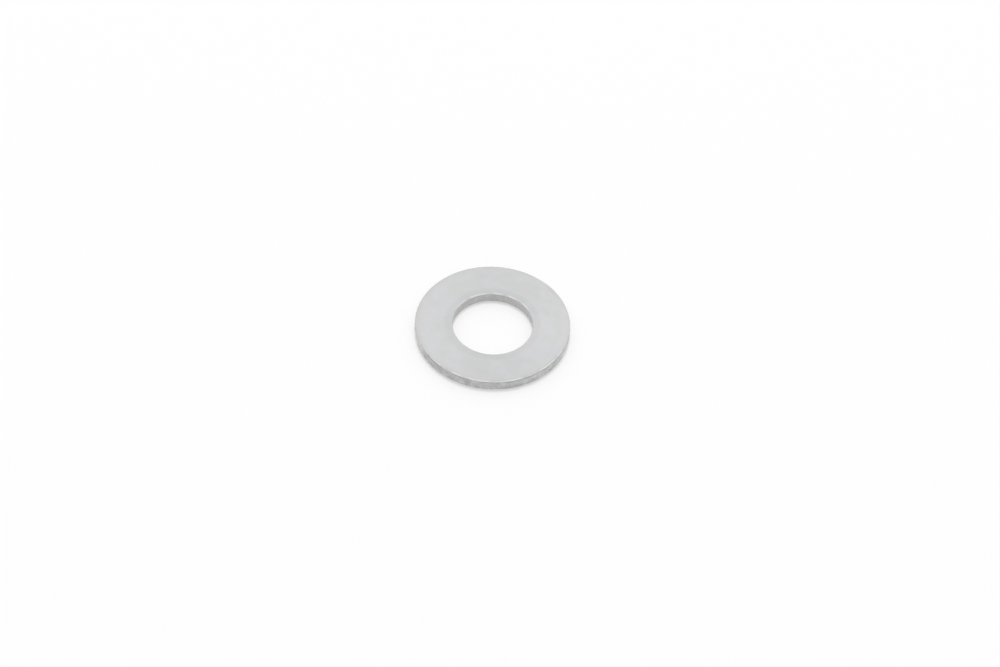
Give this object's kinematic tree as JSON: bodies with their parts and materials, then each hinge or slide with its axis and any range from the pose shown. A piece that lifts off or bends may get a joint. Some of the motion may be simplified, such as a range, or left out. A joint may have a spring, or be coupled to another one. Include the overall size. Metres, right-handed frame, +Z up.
{
  "type": "flat washer",
  "caption": "Thin round flat washer of bright zinc-plated steel that spreads the load of a bolt head or nut over a joint.",
  "frame": {"origin": "centre of the underside, on the hole's axis", "axes": "+Z up along the hole's axis, from the fractured underside to the rolled upper face; the ring is round, so +X and +Y are any two square directions in the plane it rests on"},
  "size_m": [0.0125, 0.0124, 0.0009],
  "materials": {
    "zinc_plate": "satin bright zinc plate on pressed mild steel, with a faint bluish passivation tint"
  },
  "bodies": {
    "root": {"washer": "zinc_plate"}
  },
  "joints": []
}
